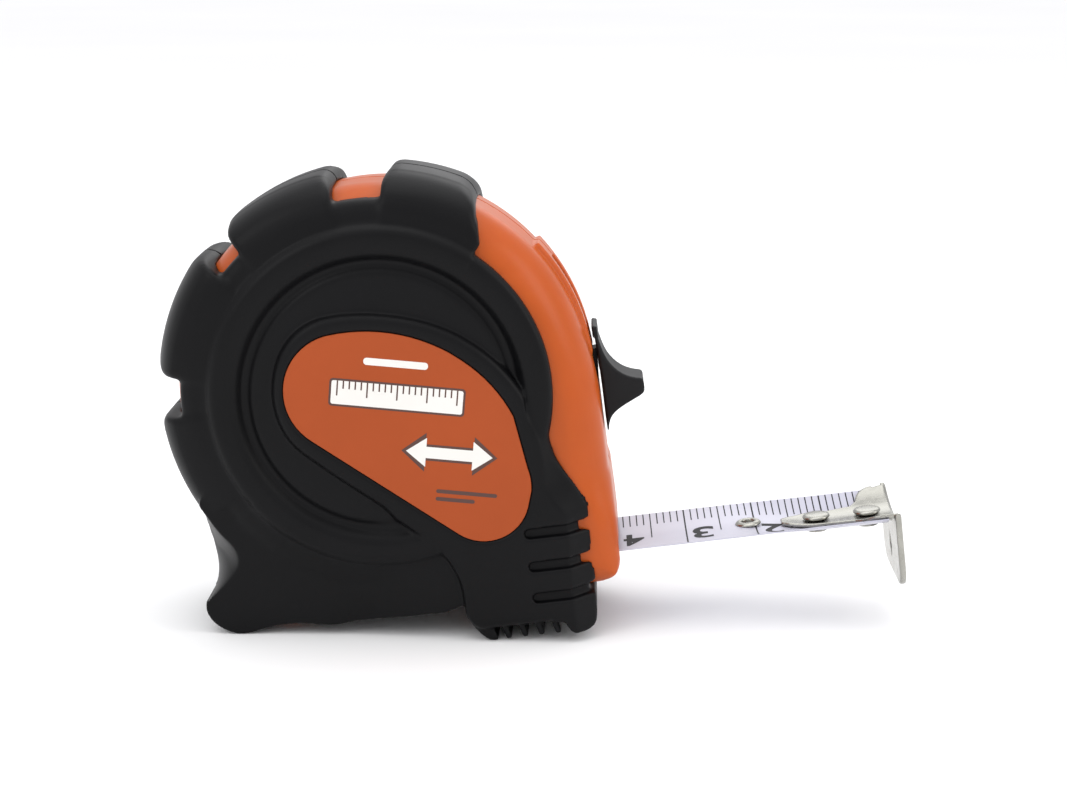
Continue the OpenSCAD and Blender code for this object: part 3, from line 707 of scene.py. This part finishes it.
# the hook's face, from which the marks count, then the arc distance where they start and a figure's width
ZERO, MARK_EDGE, FIGURE_W = 69.6, 7.95, 3.0


def cup(x):
    """Curvature of the blade at x and the height of its centre. The blade leaves the case nearly flat
    and curls up to its full cup towards the hook."""
    full = ease(np.interp(x, [25, 30, 44, 59.6], [1, 0, 0, 1]))
    k = MOUTH_CURVE + (1 / CUP_R - MOUTH_CURVE) * full
    return k, np.cos(REACH * k) / k + EDGE_Z


def on_blade(x, u, lift):
    """Point at arc distance u from the blade's middle, lift above its underside."""
    x, u = np.broadcast_arrays(np.asarray(x, float), np.asarray(u, float))
    k, zc = cup(x)
    return np.stack([x, np.sin(u * k) * (1 / k - lift), zc - np.cos(u * k) * (1 / k - lift)], -1)


def strip(start, end):
    """The visible stretch of the blade, with rounded edges."""
    flat = np.linspace(-REACH, REACH, 49)
    half = THICK / 2
    turns = [math.radians(t) for t in (30, 60, 90, 120, 150)]
    edge = [(REACH + half / 2 * math.sin(t), half - half * math.cos(t)) for t in turns]
    ring = [(u, 0.0) for u in flat] + edge
    ring += [(u, THICK) for u in flat[::-1]] + [(-u, t) for u, t in edge[::-1]]
    us, lifts = np.array(ring).T
    xs = np.linspace(start, end, 157)
    verts = np.concatenate([on_blade(x, us, lifts) for x in xs])
    return verts, [f[::-1] for f in tube(len(xs), len(ring))]


def tick(x, y0, y1, w):
    """A line of width w across the blade, for the millimetre at x."""
    ys = np.linspace(y0, y1, int((y1 - y0) / 0.4) + 1)
    pts = np.concatenate([on_blade(x - w / 2, ys, INK_LIFT), on_blade(x + w / 2, ys, INK_LIFT)])
    m = len(ys)
    return pts, [(i, m + i, m + i + 1, i + 1) for i in range(m - 1)]


def numeral(text, x, y0, y1):
    """A bold figure read from the far side, laid on the cupped blade."""
    cu = bpy.data.curves.new("figure", "FONT")
    cu.body = text
    cu.resolution_u = 6
    cu.offset = 0.022
    tmp = bpy.data.objects.new("figure", cu)
    bpy.context.scene.collection.objects.link(tmp)
    bm = bmesh.new()
    me = bpy.data.meshes.new_from_object(tmp)
    bm.from_mesh(me)
    bpy.data.objects.remove(tmp)
    co = np.array([v.co[:2] for v in bm.verts])
    lo, hi = co.min(0), co.max(0)
    for v in bm.verts:
        u = (v.co[0] - lo[0]) / (hi[0] - lo[0]) - 0.5
        w = (v.co[1] - lo[1]) / (hi[1] - lo[1])
        v.co = (x - u * FIGURE_W, y1 - w * (y1 - y0), 0)
    # small faces, so that the figure follows the cup
    for _ in range(4):
        long = [e for e in bm.edges if e.calc_length() > 0.7]
        if long:
            bmesh.ops.subdivide_edges(bm, edges=long, cuts=1)
            bmesh.ops.triangulate(bm, faces=bm.faces[:])
    bm.verts.ensure_lookup_table()
    pts = on_blade([v.co[0] for v in bm.verts], [v.co[1] for v in bm.verts], INK_LIFT)
    out = pts, [tuple(v.index for v in f.verts) for f in bm.faces]
    bm.free()
    bpy.data.meshes.remove(me)
    return out


def graduations():
    """Millimetre lines from the hook's face, longer at 5 mm and full at 1 cm, with centimetre figures."""
    marks = []
    for mm in range(2, 53):
        if mm % 10 == 0:
            marks.append(tick(ZERO - mm, -MARK_EDGE, MARK_EDGE, 0.22))
        else:
            marks.append(tick(ZERO - mm, MARK_EDGE - (10 if mm % 5 == 0 else 4), MARK_EDGE, 0.17))
    return marks + [numeral(str(cm), ZERO - 10 * cm + 2.4, -5.7, 0.5) for cm in (2, 3, 4, 5)]


crease(piece("blade_strip", *strip(16.2, 67.9), ENAMEL, "blade", "blade_paint", ["blade"]), 50)
piece("blade_marks", *join(*graduations()), INK, "blade", "blade_paint", smooth=False)

# ---- hook, rivets, eyelet ----
# outline of the hook's tang from above, mirrored about the blade's middle
TANG = ([(72, 7.4), (68.7, 7.4), (67.6, 7.2)] + arc((67.4, 4.6), 2.8, 90, 180, 6) + [(63.6, 3.5), (60.5, 3)]
        + arc((58.6, 0), 3.3, 62, 118, 4) + [(54.4, 1.7), (53.3, 0.9)])
TANG += [(x, -y) for x, y in TANG[::-1]]
PLATE_T, TANG_T = 0.9, 0.6
RIVETS = (58.4, 65.7)
EYELET = 48.6


def hook(x, z, y):
    """Plate across the blade's end with a nail slot, and the cupped tang that lies on the blade."""
    a = np.abs(y)
    k, zc = cup(x)
    # distance from the cup's centre, as if the cup were full everywhere
    rad = np.hypot(y, z - zc) + CUP_R - 1 / k
    # the tang lies on the blade's hollow side
    tang = cross(np.abs(rad - 15.02) - TANG_T / 2, polygon(x, a, TANG), 0.25)
    tang = common(tang, z - zc, x - 69.2)
    corner = np.hypot(np.maximum(a - 5, 0), np.maximum(-34.4 - z, 0)) - 3
    face = common(a - 8, -37.4 - z, 15.0 - rad, corner, z + 24)
    face = slab(face, np.abs(x - ZERO + PLATE_T / 2) - PLATE_T / 2, 0.3)
    d = np.maximum(union(tang, face, 0.3), x - ZERO)
    # long holes, which let the hook float on its rivets
    for rx in RIVETS:
        d = np.maximum(d, 1.15 - np.hypot(np.maximum(np.abs(x - rx) - 0.4, 0), y))
    nail = (np.abs(z + 33) / 1.9 + a - 1) * 0.88
    return cross(d, -np.maximum(nail, 66 - x), 0.25)


def skin_xzy(f, low, high, step):
    """Skin of a field in (x, z, y)."""
    return side(skin(f, low, high, step))


def rivet(x):
    """Domed head over the tang, and the clinched end under the blade."""
    low = on_blade(x, 0, 0)[2]
    top = low + THICK + TANG_T + 0.25
    head = [(0, 0.78), (0.9, 0.77), (1.5, 0.72), (1.8, 0.62), (1.93, 0.48), (1.95, 0.33), (1.86, 0.2),
            (1.55, 0.02), (1.08, 0)]
    clinch = [(1.08, -0.15), (1.25, -0.17), (1.55, -0.3), (1.6, -0.45), (1.5, -0.6), (1.2, -0.69),
              (0.6, -0.7), (0, -0.7)]
    return [lathe([(r, t + top) for r, t in head] + [(1.08, low - 0.2)], (x, 0, 0)),
            lathe([(r, t + low) for r, t in clinch], (x, 0, 0))]


def eyelet(x):
    """Ring rolled over both faces of the blade; its profile goes up the bore and down the outside."""
    under = on_blade(x, 0, 0)[2]
    over = under + 0.29
    upper = [(0.9, 0.3), (0.95, 0.42), (1.1, 0.5), (1.35, 0.5), (1.6, 0.4), (1.78, 0.25), (1.88, 0.08),
             (1.8, 0), (1.27, 0)]
    lower = [(1.27, -0.05), (1.7, -0.08), (1.8, -0.2), (1.75, -0.35), (1.6, -0.45), (0.9, -0.45)]
    profile = [(0.9, under - 0.45)] + [(r, over + t) for r, t in upper] + [(r, under + t) for r, t in lower]
    return lathe(profile[::-1], (x, 0, 0))


piece("hook_plate", *skin_xzy(hook, (52.8, -37.8, -8.4), (70, -24.4, 8.4), 0.14), PLATED, "hook",
      "hook_plate", ["end_hook"])
piece("rivets", *join(*[part for x in RIVETS for part in rivet(x)]), PLATED, "blade", "plated_steel",
      ["hook_rivets"])
piece("eyelet", *eyelet(EYELET), PLATED, "blade", "plated_steel", ["stop_eyelet"])

# ---- lock button ----
BUTTON = soften(arc((0, 0), 30.02, -2, 8.6, 5)
                + [(30.02, 4.65), (30.25, 4.2), (30.35, 3.1), (30.6, 1.9), (30.95, 0.5), (31.5, -0.8),
                   (32.4, -2), (33.5, -2.9), (34.8, -3.45), (35.8, -3.65), (36.1, -4.1), (36.1, -5.4),
                   (35.7, -6.0), (34.4, -6.6), (32.9, -7.3), (31.7, -8), (30.9, -8.8), (30.5, -9.8),
                   (30.35, -10.7), (30.12, -10.7), (30.12, -2.2)], 1)


def button(x, z, y):
    """Thumb button with a shallow dish in its front face and a lip at its top."""
    a = np.abs(y)
    dish = np.hypot(x - 40.6, z + 4.7) - 4.75 + a * 0.12
    d = cross(slab(polygon(x, z, BUTTON), a - 3.2, 0.45), -dish, 0.3)
    lip = slab(rect(x, z, 29.67, 30.43, 2.95, 4.45), a - 3.25, 0.25)
    return union(d, lip, 0.25)


piece("button", *skin_xzy(button, (29.6, -11.1, -3.6), (36.6, 5.2, 3.6), 0.13), BLACK, "lock", "lock_plastic",
      ["lock_button"])


# ---- belt clip: one bent strip of spring steel ----
CLIP_LINE = soften([(14.2, 22.2), (14.2, 18), (14.15, 13.9), (19.35, 8.35), (19.15, -2), (19.0, -13.5),
                    (17.7, -17.25), (20.6, -21.5)], 4, closed=False)
CLIP_HALF_W = 7.0


def bent_strip(line):
    """1 mm strip with bevelled edges along a line in (y, z), narrower at its two rounded ends."""
    line = np.array(line)
    way = np.gradient(line, axis=0)
    way /= np.hypot(*way.T)[:, None]
    length = np.concatenate([[0], np.cumsum(np.hypot(*np.diff(line, axis=0).T))])
    verts = []
    for (y, z), (dy, dz), gone in zip(line, way, length):
        w = CLIP_HALF_W - max(0, 2.2 - gone) ** 2 * 0.28 - max(0, 2.4 - (length[-1] - gone)) ** 2 * 0.3
        quarter = [(w - 0.25, 0.5), (w - 0.07, 0.43), (w, 0.25)]
        half = quarter + [(x, -t) for x, t in quarter[::-1]]
        ring = half + [(-x, t) for x, t in half[::-1]]
        verts += [(x, y + dz * t, z - dy * t) for x, t in ring[-1:] + ring[:-1]]
    return verts, tube(len(line), 12)


clip = piece("clip_strip", *bent_strip(CLIP_LINE), BRIGHT, None, "clip_steel", ["clip_foot", "clip_arm"])
crease(clip, 50)
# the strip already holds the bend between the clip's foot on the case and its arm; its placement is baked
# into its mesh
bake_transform(clip)


# ---- screws ----
def screw(c, seat, r, t, shank, shank_from, cross_r):
    """Cross-head screw on the far face: a head of radius r and thickness t, and a bit of shank."""
    def f(x, z, h):
        a, b, q = np.abs(x - c[0]), np.abs(z - c[1]), np.hypot(x - c[0], z - c[1])
        head = slab(q - r, np.maximum(h - seat - t, seat - h), 0.35)
        head = np.maximum(head, np.sqrt(q * q + (h - seat + 3.2) ** 2) - (3.2 + t + 0.05))
        arm = cross_r - np.maximum(seat + t - h, 0) * 0.35
        slot = np.minimum(np.maximum(a - 0.24, b - arm), np.maximum(b - 0.24, a - arm))
        slot = np.maximum(slot, seat + t - 0.75 - h)
        return np.minimum(cross(head, -slot, 0.08), common(q - shank, shank_from - h, h - seat - 0.2))

    low = (c[0] - r - 0.3, c[1] - r - 0.3, shank_from - 0.3)
    high = (c[0] + r + 0.3, c[1] + r + 0.3, seat + t + 0.3)
    return side(skin(f, low, high, 0.1))


case_screws = [screw((x, z), seat, 2.0, 1.3 if seat < 10 else 1.0, 0.92, max(seat - 2.0, 0), 1.25)
               for x, z, seat in SCREWS]
piece("case_screw_heads", *join(*case_screws), PLATED, "case", "plated_steel", ["case_screws"])
piece("clip_screw_head", *screw((0, CLIP_SCREW), 14.7, 3.0, 1.4, 1.35, 9.6, 1.8), PLATED, "case",
      "plated_steel", ["clip_screw"])

# ---- inner parts keep their CAD shapes ----
INNER = {"spindle": PLATED, "drum": NYLON, "drum_cover": NYLON, "return_spring": SPRING,
         "blade_coil": ENAMEL, "lock_slide": BLACK, "lock_shoe": BLACK, "lock_spring": SPRING,
         "clip_insert": BRASS}
for name, mat in INNER.items():
    me = frame["nodes"][name].data
    me.materials.clear()
    me.materials.append(mat)


# ---- stage, light and camera ----
def floor_finish():
    """Matt near-white."""
    m, nodes, links, b = material("floor")
    wide = noise(nodes, links, coords(nodes, links, 3), 2.0)
    tone = ramp(nodes, links, wide, [(0.3, (0.93, 0.93, 0.93)), (0.7, (0.95, 0.95, 0.95))])
    links.new(tone, b.inputs["Base Color"])
    b.inputs["Roughness"].default_value = 0.9
    b.inputs["Specular IOR Level"].default_value = 0.0
    return m


bpy.ops.mesh.primitive_plane_add(size=20, location=(0, 0, 0))
floor = bpy.context.object
floor.data.materials.append(floor_finish())

# studio brightness from the horizon (0) up to straight overhead (1)
SKY = [(0.0, (1.09, 1.09, 1.1)), (0.06, (1.02, 1.02, 1.03)), (0.3, (0.82, 0.82, 0.84)),
       (0.6, (1.15, 1.15, 1.17)), (1.0, (1.3, 1.3, 1.32))]


def studio():
    """World lit from all round."""
    sky = bpy.data.worlds.new("studio")
    sky.use_nodes = True
    nodes, links = sky.node_tree.nodes, sky.node_tree.links
    tc = nodes.new("ShaderNodeTexCoord")
    sep = nodes.new("ShaderNodeSeparateXYZ")
    links.new(tc.outputs["Generated"], sep.inputs["Vector"])
    links.new(ramp(nodes, links, sep.outputs["Z"], SKY), nodes["Background"].inputs["Color"])
    nodes["Background"].inputs["Strength"].default_value = 0.92
    return sky


bpy.context.scene.world = studio()


def softbox(name, place, size, power, tint=(1, 1, 1)):
    """Rectangular lamp aimed at the middle of the object."""
    li = bpy.data.lights.new(name, "AREA")
    li.shape = "RECTANGLE"
    li.size, li.size_y = size
    li.energy = power
    li.color = tint
    ob = bpy.data.objects.new(name, li)
    bpy.context.scene.collection.objects.link(ob)
    ob.location = place
    ob.rotation_euler = (Vector((0, 0, 0.03)) - Vector(place)).to_track_quat("-Z", "Y").to_euler()


softbox("top", (-0.02, 0.02, 0.55), (0.55, 0.4), 0.9)
softbox("front_left", (-0.45, -0.4, 0.4), (0.22, 0.3), 0.55)
softbox("rear", (0.12, 0.55, 0.36), (0.4, 0.3), 0.5)
softbox("right", (0.5, -0.15, 0.3), (0.2, 0.35), 0.6, (1, 0.97, 0.93))


def camera(look, yaw, pitch, dist, lens):
    """Camera dist metres from the point it looks at, turned by yaw and tipped down by pitch."""
    fwd = Vector((-math.sin(yaw) * math.cos(pitch), math.cos(yaw) * math.cos(pitch), -math.sin(pitch)))
    right = Vector((math.cos(yaw), math.sin(yaw), 0))
    up = right.cross(fwd)
    data = bpy.data.cameras.new("camera")
    cam = bpy.data.objects.new("camera", data)
    bpy.context.scene.collection.objects.link(cam)
    cam.matrix_world = Matrix.Translation(look - fwd * dist) @ Matrix((right, up, -fwd)).transposed().to_4x4()
    data.sensor_width = 36
    data.lens = lens
    data.clip_start = 0.01
    data.clip_end = 40
    return cam


LOOK = AXIS + Vector((0.02069, 0, -0.00309))
bpy.context.scene.camera = camera(LOOK, math.radians(1.5), math.radians(13.5), dist=0.2854, lens=67.48)
bpy.context.scene.view_settings.view_transform = "Standard"
bpy.context.view_layer.update()
